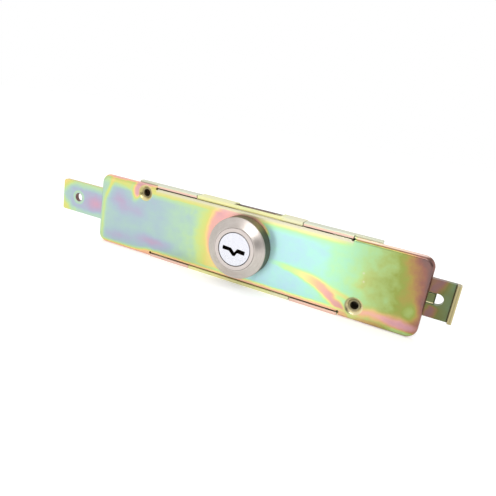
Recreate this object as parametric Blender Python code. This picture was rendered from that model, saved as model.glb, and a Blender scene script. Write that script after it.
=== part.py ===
# Two-bolt roller shutter lock, standing on its long lower edge
# X runs along the lock, Y runs from the face to the back, Z is up
# The origin is the middle of the lock's outline on the surface it stands on
import bpy
import bmesh
import math

for old in list(bpy.data.objects):
    bpy.data.objects.remove(old, do_unlink=True)

mm = 0.001

# Driving sizes, in millimetres, heights counted from the key's axis
axisHeight = 22.0          # key axis above the surface the lock stands on
gap = 0.3                  # air between pieces that touch on the real lock
plateHalfLength = 96.0
plateTop = 19.6
plateBottom = -22.0
plateSheet = 1.5
plateCorner = 5.5
rimDepth = 2.3
rimBend = 2.2
recessHalf = 57.0          # half length of the stretch between the end pans
caseHalfLength = plateHalfLength - 25.5
caseTop = 20.6
caseBottom = -22.0
caseSheet = 1.6
caseDepth = 7.9
caseBend = 2.2
wallFrontHalf = recessHalf - gap
wallSetBack = rimDepth + 0.4
saddleHalf = 30.6
saddleSlit = 0.4
saddleSheet = 1.9
saddleFront = caseDepth + gap
saddleDepth = saddleFront + saddleSheet
saddleBend = 2.2
recessTop = caseTop - saddleSheet - gap
recessBottom = caseBottom + saddleSheet + gap
relief = 0.8               # radius of the round corners of that stretch
notchLeft, notchRight = 21.6 - saddleHalf, saddleHalf - 12.6
notchFront = 1.2
notchRoot = caseTop - saddleSheet - 1.2
notchFloor = caseTop - 1.2
wide = 6.0                 # how far cutting boxes reach past what they cut
lugInner, lugOuter = recessHalf - 11.0, recessHalf - 2.0
lugDepth = 6.6
lugGap = 0.35
# Fixing holes, one each side of the axis
holeX = plateHalfLength - 31.6
holeZ = plateTop - 5.2
threadRadius = 2.1
plungeRadius = 3.5
plungeEnd = 5.0
dimpleRadius = 4.8
plugRadius = 8.8
plugFront = -10.1
housingFront = plugFront - 0.05
plugGap = 0.3
boreRadius = plugRadius + plugGap
barrelRadius = 11.0
flangeRadius = 15.2
flangeThick = 2.7
collarRadius = flangeRadius + 1.2
collarRim = -7.6
collarBore = barrelRadius + gap
collarFront = plugFront + 0.1
collarBack = -0.25
chamferOuter = collarRadius - 2.2
chamferInner = collarBore + 1.3
broachRadius = 10.1
screwOffset = (barrelRadius + flangeRadius) / 2 - 0.2
screwHoleRadius = 1.5
driveRadius, driveFlat = 8.4, 7.2
driveStart, driveEnd = 2.45, 5.75
tailRadius, tailEnd = 7.9, 12.3
grooveRadius, grooveStart, grooveEnd = 7.1, 10.4, 11.4
tailHole = tailRadius + gap
keySlotEnd = 9.0
boltFront, boltBack = 2.8, 5.6
boltHalfHeight = 9.5
leftTip = -plateHalfLength - 31.3
rightTip = plateHalfLength + 13.2
tongueHoleX = leftTip + 12.1
tongueHoleRadius = 2.5
lipSheet, lipFront = 2.0, 0.8
innerEnd = 15.5            # bolt bodies stop this far from the axis
riserEnd = 36.0
armTop = 17.2
armEnd = 25.0
gearModule = 1.0
gearTeeth = 24
pitchRadius = gearModule * gearTeeth / 2
backlash = 0.3
rackAddendum = 0.9
rackDedendum = 1.25
pressureAngle = math.radians(20)
quarterTurn = math.pi / 2
throw = pitchRadius * quarterTurn
guideHalfHeight = 2.45
guideGap = 0.4
slotHalf = guideHalfHeight + guideGap
guideInner = caseHalfLength - 11.0   # end of each guide nearer to the axis
leftGuideOuter = caseHalfLength - 1.0
rightGuideOuter = plateHalfLength + 3.8
slotInner = guideInner - throw - slotHalf + 1.1
leftSlotOuter = leftGuideOuter + 4.0
rightSlotOuter = rightGuideOuter + 3.6
rivetX, rivetZ = saddleHalf - 6.6, 10.0
rivetRadius = 1.6
guideRivetRadius, guideRivetHead = 1.5, 2.6
guideHoleFront = 3.7
leftRivet = 6.0 - caseHalfLength
rightRivets = (caseHalfLength - 8.0, caseHalfLength - 2.5)
waferPitch = 2.2
waferFirst = -8.2
waferThick = 1.2
waferSlot = 1.4
waferRadius = plugRadius - 0.15
waferLow, waferHigh = -5.4, 3.2
windowHalf = waferRadius - 1.65
windowLow, windowHigh = waferLow + 1.2, waferHigh - 1.9
waferGap = 0.3
springRadius, springWire, springTurns = 0.42, 0.12, 6
springCentre = 4.15
springStart, springEnd = -2.25, 2.55
# The key's axis, seen from the middle of the outline
axisX = -(leftTip + rightTip) / 2
axisY = -(housingFront + tailEnd) / 2


def material(name, color, roughness, metallic):
    made = bpy.data.materials.new(name)
    made.use_nodes = True
    shader = made.node_tree.nodes["Principled BSDF"]
    shader.inputs["Base Color"].default_value = (*color, 1.0)
    shader.inputs["Roughness"].default_value = roughness
    shader.inputs["Metallic"].default_value = metallic
    made.diffuse_color = (*color, 1.0)
    return made


chromate = material("chromate", (0.66, 0.70, 0.50), 0.32, 1.0)
nickel = material("nickel", (0.66, 0.62, 0.58), 0.30, 1.0)
bright = material("bright", (0.86, 0.87, 0.90), 0.14, 1.0)
brass = material("brass", (0.78, 0.62, 0.30), 0.30, 1.0)
steel = material("steel", (0.52, 0.52, 0.53), 0.36, 1.0)
springSteel = material("spring_steel", (0.60, 0.60, 0.62), 0.28, 1.0)


def makeMesh(name, bm, mat, smooth):
    bmesh.ops.recalc_face_normals(bm, faces=bm.faces)
    mesh = bpy.data.meshes.new(name)
    bm.to_mesh(mesh)
    bm.free()
    mesh.materials.append(mat)
    if smooth:
        for face in mesh.polygons:
            face.use_smooth = True
        mesh.set_sharp_from_angle(angle=math.radians(32))
    return mesh


def place(name, mesh, x=0.0, z=0.0, parent=None):
    made = bpy.data.objects.new(name, mesh)
    bpy.context.collection.objects.link(made)
    if parent:
        made.parent = parent
    else:
        made.location = ((axisX + x) * mm, axisY * mm, (axisHeight + z) * mm)
    return made


def addObject(name, bm, mat, smooth=False, parent=None):
    return place(name, makeMesh(name, bm, mat, smooth), parent=parent)


def addCutter(name, bm, parent=None):
    made = addObject(name, bm, steel, parent=parent)
    made.hide_render = True
    made.display_type = "WIRE"
    return made


def boolean(target, cutter, operation):
    step = target.modifiers.new(cutter.name, "BOOLEAN")
    step.operation = operation
    step.solver = "EXACT"
    step.object = cutter


def prismY(bm, outline, front, back):
    corners = [bm.verts.new((x * mm, front * mm, z * mm)) for x, z in outline]
    face = bm.faces.new(corners)
    pulled = bmesh.ops.extrude_face_region(bm, geom=[face])
    moved = [item for item in pulled["geom"] if isinstance(item, bmesh.types.BMVert)]
    bmesh.ops.translate(bm, verts=moved, vec=(0.0, (back - front) * mm, 0.0))
    return corners


def prismX(bm, outline, left, right):
    corners = [bm.verts.new((left * mm, y * mm, z * mm)) for y, z in outline]
    face = bm.faces.new(corners)
    pulled = bmesh.ops.extrude_face_region(bm, geom=[face])
    moved = [item for item in pulled["geom"] if isinstance(item, bmesh.types.BMVert)]
    bmesh.ops.translate(bm, verts=moved, vec=((right - left) * mm, 0.0, 0.0))


def prismZ(bm, outline, low, high):
    corners = [bm.verts.new((x * mm, y * mm, low * mm)) for x, y in outline]
    face = bm.faces.new(corners)
    pulled = bmesh.ops.extrude_face_region(bm, geom=[face])
    moved = [item for item in pulled["geom"] if isinstance(item, bmesh.types.BMVert)]
    bmesh.ops.translate(bm, verts=moved, vec=(0.0, 0.0, (high - low) * mm))


def box(bm, x0, x1, y0, y1, z0, z1):
    prismY(bm, [(x0, z0), (x1, z0), (x1, z1), (x0, z1)], y0, y1)


def arc(cx, cz, radius, start, end, steps):
    return [(cx + radius * math.cos(math.radians(start + (end - start) * i / steps)),
             cz + radius * math.sin(math.radians(start + (end - start) * i / steps)))
            for i in range(steps + 1)]


def roundedRect(x0, x1, z0, z1, radius, steps):
    return (arc(x1 - radius, z0 + radius, radius, -90, 0, steps)
            + arc(x1 - radius, z1 - radius, radius, 0, 90, steps)
            + arc(x0 + radius, z1 - radius, radius, 90, 180, steps)
            + arc(x0 + radius, z0 + radius, radius, 180, 270, steps))


def circle(cx, cz, radius, steps):
    return arc(cx, cz, radius, 0, 360, steps)[:-1]


def stadium(x0, x1, half, steps):
    return arc(x1 - half, 0, half, -90, 90, steps) + arc(x0 + half, 0, half, 90, 270, steps)


def turned(bm, profile, cx=0.0, cz=0.0, steps=56):
    corners = [bm.verts.new((cx * mm + r * mm, y * mm, cz * mm)) for r, y in profile]
    edges = [bm.edges.new((corners[i], corners[(i + 1) % len(corners)]))
             for i in range(len(corners))]
    bmesh.ops.spin(bm, geom=corners + edges, cent=(cx * mm, 0.0, cz * mm), axis=(0.0, 1.0, 0.0),
                   angle=2 * math.pi, steps=steps, use_merge=True, use_duplicate=False)
    bmesh.ops.remove_doubles(bm, verts=bm.verts, dist=1e-7)
    loose = [edge for edge in bm.edges if not edge.link_faces]
    bmesh.ops.delete(bm, geom=loose, context="EDGES")
    bmesh.ops.dissolve_degenerate(bm, edges=bm.edges, dist=1e-7)


def bevelFrontEdge(bm, front, amount, segments):
    picked = [edge for edge in bm.edges
              if all(abs(v.co.y - front * mm) < 1e-7 for v in edge.verts)]
    bmesh.ops.bevel(bm, geom=picked, offset=amount * mm, offset_type="OFFSET",
                    affect="EDGES", segments=segments, profile=0.5, material=-1,
                    clamp_overlap=True)


# Front plate: one drawn sheet with a rolled rim round both end pans
bm = bmesh.new()
prismY(bm, roundedRect(-plateHalfLength, plateHalfLength, plateBottom, plateTop, plateCorner, 6),
       0.0, rimDepth)
bevelFrontEdge(bm, 0.0, rimBend, 4)
frontPlate = addObject("front_plate", bm, chromate, smooth=True)

bm = bmesh.new()
prismY(bm, roundedRect(-plateHalfLength + plateSheet, plateHalfLength - plateSheet,
                       plateBottom + plateSheet, plateTop - plateSheet,
                       plateCorner - plateSheet, 6), plateSheet, rimDepth + 3.0)
bevelFrontEdge(bm, plateSheet, rimBend - plateSheet, 2)
boolean(frontPlate, addCutter("cut_plate_hollow", bm), "DIFFERENCE")
bm = bmesh.new()
box(bm, -recessHalf, recessHalf, plateSheet, rimDepth + 3.0, plateBottom - 1.0, plateTop + 1.0)
boolean(frontPlate, addCutter("cut_plate_back", bm), "DIFFERENCE")

bm = bmesh.new()
overTop, underLow = plateTop + wide, plateBottom - wide
topCut = ([(-recessHalf, overTop)] + arc(-recessHalf, recessTop, relief, 90, 360, 6)
          + [(recessHalf - 1.3, recessTop), (recessHalf - 0.2, recessTop - 0.9),
             (recessHalf + 1.3, recessTop + 0.6), (recessHalf, recessTop + 0.9),
             (recessHalf, overTop)])
prismY(bm, topCut, -wide, rimDepth + wide)
lowCut = ([(-recessHalf, underLow)] + arc(-recessHalf, recessBottom, relief, 270, 0, 6)
          + arc(recessHalf, recessBottom, relief, 180, -90, 6) + [(recessHalf, underLow)])
prismY(bm, lowCut, -wide, rimDepth + wide)
boolean(frontPlate, addCutter("cut_plate_edges", bm), "DIFFERENCE")

bm = bmesh.new()
for sign in (-1, 1):
    prismY(bm, circle(sign * holeX, -sign * holeZ, plungeRadius, 24), 0.9, plungeEnd)
boolean(frontPlate, addCutter("add_plate_plunges", bm), "UNION")

bm = bmesh.new()
for sign in (-1, 1):
    turned(bm, [(0.0, -1.0), (dimpleRadius + 0.6, -1.0), (dimpleRadius + 0.3, -0.05),
                (dimpleRadius - 0.5, 0.2), (plungeRadius, 0.8), (plungeRadius - 0.6, plateSheet),
                (threadRadius, plateSheet + 0.6),
                (threadRadius, plungeEnd + 1.0), (0.0, plungeEnd + 1.0)],
           sign * holeX, -sign * holeZ, 24)
    prismY(bm, circle(sign * screwOffset, 0.0, screwHoleRadius, 16), -1.0, plateSheet + 1.0)
prismY(bm, circle(0.0, 0.0, boreRadius + 0.1, 56), -1.0, plateSheet + 1.0)
boolean(frontPlate, addCutter("cut_plate_holes", bm), "DIFFERENCE")

# Back case: one channel whose wall edges come up flush with the face
def channel(top, bottom, depth, sheet, bend, steps):
    outer = ([(0.0, bottom)] + [(y, z) for y, z in arc(depth - bend, bottom + bend, bend, -90, 0, steps)]
             + [(y, z) for y, z in arc(depth - bend, top - bend, bend, 0, 90, steps)] + [(0.0, top)])
    inner = ([(0.0, top - sheet)]
             + arc(depth - bend, top - bend, bend - sheet, 90, 0, steps)
             + arc(depth - bend, bottom + bend, bend - sheet, 0, -90, steps)
             + [(0.0, bottom + sheet)])
    return outer + inner


bm = bmesh.new()
prismX(bm, channel(caseTop, caseBottom, caseDepth, caseSheet, caseBend, 5),
       -caseHalfLength, caseHalfLength)
backCase = addObject("back_case", bm, chromate, smooth=True)

saddleRoomTop = caseTop - saddleSheet - saddleBend + 0.3
saddleRoomLow = caseBottom + saddleSheet + saddleBend - 0.3
bm = bmesh.new()
room = saddleHalf + saddleSlit
caseReach = caseHalfLength + wide
box(bm, -room, room, -wide, caseDepth + wide, saddleRoomTop, caseTop + wide)
box(bm, -room, room, -wide, caseDepth + wide, caseBottom - wide, saddleRoomLow)
box(bm, wallFrontHalf, caseReach, -wide, wallSetBack, caseBottom - wide, caseTop + wide)
box(bm, -caseReach, -wallFrontHalf, -wide, wallSetBack, caseBottom - wide, caseTop + wide)
boolean(backCase, addCutter("cut_case_edges", bm), "DIFFERENCE")

bm = bmesh.new()
lugFront = plateSheet + lugGap
box(bm, lugInner, lugOuter, lugFront, lugFront + caseSheet, caseTop - lugDepth,
    caseTop - 0.5 * caseSheet)
box(bm, -lugOuter, -lugInner, lugFront, lugFront + caseSheet, caseBottom + 0.5 * caseSheet,
    caseBottom + lugDepth)
boolean(backCase, addCutter("add_case_lugs", bm), "UNION")

bm = bmesh.new()
prismY(bm, circle(0.0, 0.0, tailHole, 48), caseDepth - 4.0, caseDepth + 1.0)
for sx in (-1, 1):
    for sz in (-1, 1):
        prismY(bm, circle(sx * rivetX, sz * rivetZ, rivetRadius + gap, 16),
               caseDepth - 4.0, caseDepth + 1.0)
for x in (leftRivet, *rightRivets):
    prismY(bm, circle(x, 0.0, guideRivetRadius + gap, 16), caseDepth - 4.0, caseDepth + 1.0)
boolean(backCase, addCutter("cut_case_holes", bm), "DIFFERENCE")

# Centre saddle: a bracket round the middle of the case that carries the plug's tail
bm = bmesh.new()
prismX(bm, channel(caseTop, caseBottom, saddleDepth, saddleSheet, saddleBend, 5),
       -saddleHalf, saddleHalf)
centreSaddle = addObject("centre_saddle", bm, chromate, smooth=True)

bm = bmesh.new()
prismX(bm, [(notchFront, notchRoot), (saddleFront, notchRoot), (saddleFront, notchFloor),
            (saddleDepth + wide, notchFloor), (saddleDepth + wide, caseTop + wide),
            (notchFront, caseTop + wide)], notchLeft, notchRight)
prismY(bm, circle(0.0, 0.0, tailHole, 48), saddleFront - 0.5, saddleDepth + 1.0)
for sx in (-1, 1):
    for sz in (-1, 1):
        prismY(bm, circle(sx * rivetX, sz * rivetZ, rivetRadius + gap, 16),
               saddleFront - 0.5, saddleDepth + 1.0)
boolean(centreSaddle, addCutter("cut_saddle", bm), "DIFFERENCE")

rivetNames = (("saddle_rivet_upper_left", -1, 1), ("saddle_rivet_upper_right", 1, 1),
              ("saddle_rivet_lower_left", -1, -1), ("saddle_rivet_lower_right", 1, -1))
headFront = saddleDepth + gap
rivetEnd = caseDepth - caseSheet + 0.2
bm = bmesh.new()
turned(bm, [(0.0, rivetEnd), (rivetRadius, rivetEnd), (rivetRadius, headFront), (3.0, headFront),
            (3.0, headFront + 0.4), (2.4, headFront + 1.0), (1.2, headFront + 1.3),
            (0.0, headFront + 1.4)], steps=16)
rivetMesh = makeMesh("saddle_rivet", bm, steel, True)
for name, sx, sz in rivetNames:
    place(name, rivetMesh, sx * rivetX, sz * rivetZ)

# Collar and the cylinder housing under it
bm = bmesh.new()
turned(bm, [(collarRadius, collarBack), (collarRadius, collarRim + 0.3),
            (collarRadius - 0.2, collarRim), (collarRadius - 0.8, collarRim - 0.2),
            (chamferOuter, collarRim - 0.9), (chamferInner, collarFront + 0.5),
            (collarBore + 0.4, collarFront + 0.05), (collarBore + 0.15, collarFront),
            (collarBore, collarFront + 0.1), (collarBore, -gap - flangeThick - gap),
            (flangeRadius + gap, -gap - flangeThick - gap), (flangeRadius + gap, collarBack)],
       steps=72)
addObject("cylinder_collar", bm, nickel, smooth=True)

bm = bmesh.new()
flangeBack = -gap
turned(bm, [(boreRadius, flangeBack), (flangeRadius, flangeBack),
            (flangeRadius, flangeBack - flangeThick), (barrelRadius, flangeBack - flangeThick),
            (barrelRadius, housingFront + 0.2), (barrelRadius - 0.2, housingFront),
            (boreRadius, housingFront)])
housing = addObject("cylinder_housing", bm, nickel, smooth=True)
wideTurn = math.degrees(math.asin((waferGap + 0.4 - waferLow) / broachRadius))
narrowTurn = math.degrees(math.asin((waferGap + 0.4 + waferHigh) / broachRadius))
broach = []
for turn in (0, 90, 180, 270):
    low, high = (-wideTurn, narrowTurn) if turn in (0, 90) else (-narrowTurn, wideTurn)
    broach += arc(0.0, 0.0, broachRadius, turn + low, turn + high, 6)
    nextLow = {0: 90 - wideTurn, 90: 180 - narrowTurn, 180: 270 - narrowTurn,
               270: 360 - wideTurn}[turn]
    broach += arc(0.0, 0.0, boreRadius - 0.1, turn + high, nextLow, 4)
bm = bmesh.new()
prismY(bm, broach, waferFirst - 0.5 * waferSlot - 0.3, 1.0)
for sign in (-1, 1):
    prismY(bm, circle(sign * screwOffset, 0.0, screwHoleRadius, 16), flangeBack - 2.2, 1.0)
boolean(housing, addCutter("cut_housing", bm), "DIFFERENCE")

headBack = plateSheet + gap
bm = bmesh.new()
turned(bm, [(0.0, flangeBack - 1.8), (1.2, flangeBack - 1.8), (1.2, headBack), (2.3, headBack),
            (2.3, headBack + 0.4), (2.1, headBack + 0.6), (0.0, headBack + 0.6)], steps=16)
screwMesh = makeMesh("housing_screw", bm, steel, True)
for name, sign in (("housing_screw_left", -1), ("housing_screw_right", 1)):
    place(name, screwMesh, sign * screwOffset)

# Plug with its keyway, wafer slots and spring pockets
bm = bmesh.new()
turned(bm, [(0.0, plugFront), (plugRadius - 0.25, plugFront), (plugRadius, plugFront + 0.25),
            (plugRadius, driveStart), (driveRadius, driveStart), (driveRadius, driveEnd),
            (tailRadius, driveEnd), (tailRadius, grooveStart), (grooveRadius, grooveStart),
            (grooveRadius, grooveEnd), (tailRadius, grooveEnd), (tailRadius, tailEnd - 0.3),
            (tailRadius - 0.3, tailEnd), (0.0, tailEnd)])
plug = addObject("plug", bm, bright, smooth=True)

keyway = [(-6.6, -1.25), (-2.7, -1.4), (-0.4, -3.5), (0.9, -3.5), (2.0, -1.5), (6.1, -1.8),
          (6.3, 0.4), (1.9, 0.75), (0.35, -1.5), (-1.7, 0.5), (-6.5, 0.85)]
bm = bmesh.new()
prismY(bm, keyway, plugFront - 2.0, keySlotEnd)
boolean(plug, addCutter("cut_keyway", bm), "DIFFERENCE")
bm = bmesh.new()
for i in range(4):
    middle = waferFirst + i * waferPitch
    side = 1 if i % 2 == 0 else -1
    front, back = middle - 0.5 * waferSlot, middle + 0.5 * waferSlot
    low, high = waferLow - waferGap, waferHigh + waferGap
    pocket = [(-2.6 * side, high), (-2.6 * side, 4.9), (4.8 * side, 4.9), (4.8 * side, high)]
    shape = [(-12.0, low), (12.0, low), (12.0, high)]
    shape += list(reversed(pocket)) if side == 1 else pocket
    shape += [(-12.0, high)]
    prismY(bm, shape, front, back)
for sign in (-1, 1):
    box(bm, -12.0, 12.0, driveStart, driveEnd, *sorted((sign * driveFlat, sign * 12.0)))
boolean(plug, addCutter("cut_plug_slots", bm), "DIFFERENCE")

# Wafers slide across the plug, every other one the opposite way
for i in range(4):
    middle = waferFirst + i * waferPitch
    side = 1 if i % 2 == 0 else -1
    lowAngle = math.degrees(math.asin(waferLow / waferRadius))
    highAngle = math.degrees(math.asin(waferHigh / waferRadius))
    right = arc(0.0, 0.0, waferRadius, lowAngle, highAngle, 6)
    left = [(-x, z) for x, z in reversed(right)]
    finger = [(2.9 * side, waferHigh), (2.9 * side, 4.6), (3.7 * side, 4.6), (3.7 * side, waferHigh)]
    bm = bmesh.new()
    prismY(bm, right + (list(reversed(finger)) if side == 1 else finger) + left,
           middle - 0.5 * waferThick, middle + 0.5 * waferThick)
    wafer = addObject("wafer_%d" % (i + 1), bm, brass, smooth=True, parent=plug)
    bm = bmesh.new()
    box(bm, -windowHalf, windowHalf, middle - waferPitch, middle + waferPitch, windowLow, windowHigh)
    boolean(wafer, addCutter("cut_wafer_%d" % (i + 1), bm, parent=plug), "DIFFERENCE")

# A small coil behind each wafer's finger
for i in range(4):
    middle = waferFirst + i * waferPitch
    side = 1 if i % 2 == 0 else -1
    count = springTurns * 8
    rings = []
    bm = bmesh.new()
    for k in range(count + 1):
        t = 2 * math.pi * springTurns * k / count
        x = springStart + springWire + (springEnd - springStart - 2 * springWire) * k / count
        outward = (math.cos(t), math.sin(t))
        ring = []
        for j in range(4):
            a = 2 * math.pi * j / 4
            reach = springRadius + springWire * math.cos(a)
            ring.append(bm.verts.new((side * (x + springWire * math.sin(a)) * mm,
                                      (middle + reach * outward[0]) * mm,
                                      (springCentre + reach * outward[1]) * mm)))
        rings.append(ring)
    for a, b in zip(rings, rings[1:]):
        for j in range(4):
            bm.faces.new((a[j], a[(j + 1) % 4], b[(j + 1) % 4], b[j]))
    bm.faces.new(rings[0])
    bm.faces.new(list(reversed(rings[-1])))
    addObject("wafer_spring_%d" % (i + 1), bm, springSteel, smooth=True, parent=plug)

# Drive pinion: involute teeth, two flats in its bore
def involuteOutline(teeth, module, thinning):
    pitch = teeth * module / 2
    base = pitch * math.cos(pressureAngle)
    tip = pitch + module
    root = pitch - 1.25 * module
    involute = math.tan(pressureAngle) - pressureAngle
    half = (math.pi * module / 2 - thinning) / 2 / pitch
    points = []
    for k in range(teeth):
        centre = 2 * math.pi * (k + 0.5) / teeth + math.pi / 2
        flank = []
        for s in range(4):
            r = base + (tip - base) * s / 3
            turn = math.acos(min(1.0, base / r))
            flank.append((r, half + involute - (math.tan(turn) - turn)))
        rootHalf = flank[0][1] + 0.004
        side = [(root, rootHalf)] + flank
        for r, a in side:
            points.append((r * math.cos(centre - a), r * math.sin(centre - a)))
        for r, a in reversed(side):
            points.append((r * math.cos(centre + a), r * math.sin(centre + a)))
    return points


bm = bmesh.new()
prismY(bm, involuteOutline(gearTeeth, gearModule, backlash), boltFront + 0.05, boltBack - 0.05)
pinion = addObject("drive_pinion", bm, steel, parent=plug)
flatAngle = math.degrees(math.asin((driveFlat + 0.2) / (driveRadius + gap)))
bm = bmesh.new()
prismY(bm, arc(0.0, 0.0, driveRadius + gap, -flatAngle, flatAngle, 12)
       + arc(0.0, 0.0, driveRadius + gap, 180 - flatAngle, 180 + flatAngle, 12),
       boltFront - 2.0, boltBack + 2.0)
boolean(pinion, addCutter("cut_pinion", bm, parent=plug), "DIFFERENCE")

# Open retaining clip in the groove of the plug's tail
clipIn, clipOut = grooveRadius + gap, 10.4
bm = bmesh.new()
prismY(bm, arc(0.0, 0.0, clipOut, -60, 240, 32) + arc(0.0, 0.0, clipIn, 240, -60, 32),
       grooveStart + 0.15, grooveEnd - 0.15)
addObject("tail_clip", bm, springSteel, smooth=True, parent=plug)

# Bolts: flat blanks with a toothed arm each, left arm above the axis, right arm below
def rackLine(first, last):
    slope = math.tan(pressureAngle)
    half = (math.pi * gearModule / 2 - backlash) / 2
    tip, root = pitchRadius - rackAddendum, pitchRadius + rackDedendum
    line = []
    for k in range(first, last + 1):
        x = k * math.pi * gearModule
        wideHalf = half + rackDedendum * slope
        thinHalf = half - rackAddendum * slope
        line += [(x - wideHalf, root), (x - thinHalf, tip), (x + thinHalf, tip), (x + wideHalf, root)]
    return line


def boltOutline(end, topRound, lowRound):
    rootLine = pitchRadius + rackDedendum
    return ([(end + lowRound, -boltHalfHeight), (-innerEnd, -boltHalfHeight), (-innerEnd, rootLine)]
            + rackLine(-1, 7) + [(armEnd, rootLine), (armEnd, armTop), (-riserEnd, armTop),
                                 (-riserEnd, boltHalfHeight), (end + topRound, boltHalfHeight)]
            + arc(end + topRound, boltHalfHeight - topRound, topRound, 90, 180, 5)[1:]
            + [(end, -boltHalfHeight + lowRound)])


bm = bmesh.new()
prismY(bm, boltOutline(leftTip, 1.8, 0.9), boltFront, boltBack)
leftBolt = addObject("left_bolt", bm, chromate, smooth=True)
bm = bmesh.new()
prismY(bm, [(x, z) for x, z in stadium(-leftSlotOuter, -slotInner, slotHalf, 12)],
       boltFront - 2.0, boltBack + 2.0)
prismY(bm, circle(tongueHoleX, 0.0, tongueHoleRadius, 32), boltFront - 2.0, boltBack + 2.0)
boolean(leftBolt, addCutter("cut_left_bolt", bm), "DIFFERENCE")

bm = bmesh.new()
plain = boltOutline(-(rightTip - lipSheet), 0.05, 0.05)
prismY(bm, [(-x, -z) for x, z in plain], boltFront, boltBack)
rightBolt = addObject("right_bolt", bm, chromate, smooth=True)
bm = bmesh.new()
lipLeft = rightTip - lipSheet
prismZ(bm, [(lipLeft - 1.0, boltBack), (lipLeft - 1.0, boltFront), (lipLeft - 0.5, boltFront)]
       + arc(lipLeft - 0.5, boltFront - 0.5, 0.5, 90, 0, 3)[1:]
       + [(lipLeft, lipFront + 0.3), (lipLeft + 0.3, lipFront), (rightTip - 0.3, lipFront),
          (rightTip, lipFront + 0.3)]
       + arc(rightTip - 1.4, boltBack - 1.4, 1.4, 0, 90, 5), -boltHalfHeight, boltHalfHeight)
boolean(rightBolt, addCutter("add_lip", bm), "UNION")
bm = bmesh.new()
prismY(bm, stadium(slotInner, rightSlotOuter, slotHalf, 12), boltFront - 2.0, boltBack + 2.0)
boolean(rightBolt, addCutter("cut_right_bolt", bm), "DIFFERENCE")

# Guides standing in the bolts' slots, riveted to the case
guideFront, guideBack = boltFront - 0.3, caseDepth - caseSheet - 0.25
bm = bmesh.new()
box(bm, -leftGuideOuter, -guideInner, guideFront, guideBack, -guideHalfHeight, guideHalfHeight)
leftGuide = addObject("left_slot_guide", bm, chromate)
bm = bmesh.new()
prismY(bm, circle(leftRivet, 0.0, guideRivetRadius + gap, 16), guideHoleFront, guideBack + 1.0)
boolean(leftGuide, addCutter("cut_left_guide", bm), "DIFFERENCE")
bm = bmesh.new()
prismZ(bm, [(guideInner, guideFront), (rightGuideOuter - 1.5, guideFront)]
       + arc(rightGuideOuter - 1.5, guideFront + 1.5, 1.5, -90, 0, 5)[1:]
       + [(rightGuideOuter, guideBack), (guideInner, guideBack)],
       -guideHalfHeight, guideHalfHeight)
rightGuide = addObject("right_slot_guide", bm, chromate, smooth=True)
bm = bmesh.new()
for x in rightRivets:
    prismY(bm, circle(x, 0.0, guideRivetRadius + gap, 16), guideHoleFront, guideBack + 1.0)
boolean(rightGuide, addCutter("cut_right_guide", bm), "DIFFERENCE")

bm = bmesh.new()
headFront = caseDepth + gap
guideRivetFront = guideHoleFront + gap
turned(bm, [(0.0, guideRivetFront), (guideRivetRadius, guideRivetFront),
            (guideRivetRadius, headFront), (guideRivetHead, headFront),
            (guideRivetHead, headFront + 0.4), (guideRivetHead - 0.6, headFront + 0.9),
            (0.0, headFront + 1.1)], steps=16)
guideRivetMesh = makeMesh("guide_rivet", bm, steel, True)
for name, x in (("guide_rivet_left", leftRivet), ("guide_rivet_right_inner", rightRivets[0]),
                ("guide_rivet_right_outer", rightRivets[1])):
    place(name, guideRivetMesh, x)
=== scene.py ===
import bpy
import bmesh
import math
from mathutils import Matrix, Vector


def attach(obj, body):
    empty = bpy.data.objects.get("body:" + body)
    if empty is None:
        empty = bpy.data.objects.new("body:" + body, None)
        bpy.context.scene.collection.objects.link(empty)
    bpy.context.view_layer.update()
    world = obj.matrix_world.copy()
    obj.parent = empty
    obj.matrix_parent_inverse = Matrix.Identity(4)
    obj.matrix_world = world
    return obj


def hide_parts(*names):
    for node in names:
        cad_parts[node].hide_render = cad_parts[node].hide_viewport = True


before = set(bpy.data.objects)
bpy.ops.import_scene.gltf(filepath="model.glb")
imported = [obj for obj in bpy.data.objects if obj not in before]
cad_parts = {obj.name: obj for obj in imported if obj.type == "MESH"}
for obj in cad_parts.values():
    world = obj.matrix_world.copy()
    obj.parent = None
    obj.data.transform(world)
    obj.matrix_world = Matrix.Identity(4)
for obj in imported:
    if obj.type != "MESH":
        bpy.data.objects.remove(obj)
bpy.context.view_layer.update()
print("frame loaded")

mm = 0.001
keyAxis = Vector((0.00905, -0.001075, 0.022))  # the plug's axis, and the lock's face in Y

# Lengths in millimetres and places from the key's axis, as in every mesh and look below
hair = 1e-4  # less than any real feature
recessHalf = 57  # half the stretch where the plate's long edges are cut back
holeX, holeZ = 64.4, 14.4  # the fixing holes, upper left and lower right
tongueHole = -115.2  # the round hole in the left bolt


# Tools for the meshes
def pull(bm, faces, along):
    grown = bmesh.ops.extrude_face_region(bm, geom=faces)["geom"]
    bmesh.ops.translate(bm, vec=along, verts=[g for g in grown if isinstance(g, bmesh.types.BMVert)])


def blank(points, front, back):
    bm = bmesh.new()
    face = bm.faces.new([bm.verts.new((x, front, z)) for x, z in points])
    pull(bm, [face], (0, back - front, 0))
    bmesh.ops.recalc_face_normals(bm, faces=bm.faces)
    return bm


def block(low, high):
    bm = bmesh.new()
    bmesh.ops.create_cube(bm, size=1)
    bmesh.ops.scale(bm, vec=[b - a for a, b in zip(low, high)], verts=bm.verts)
    bmesh.ops.translate(bm, vec=[(a + b) / 2 for a, b in zip(low, high)], verts=bm.verts)
    return bm


def pin(x, z, radius, front, back, steps=48):
    bm = bmesh.new()
    place = Matrix.Translation((x, (front + back) / 2, z)) @ Matrix.Rotation(math.pi / 2, 4, "X")
    bmesh.ops.create_cone(bm, cap_ends=True, segments=steps, radius1=radius, radius2=radius,
                          depth=back - front, matrix=place)
    return bm


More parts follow.
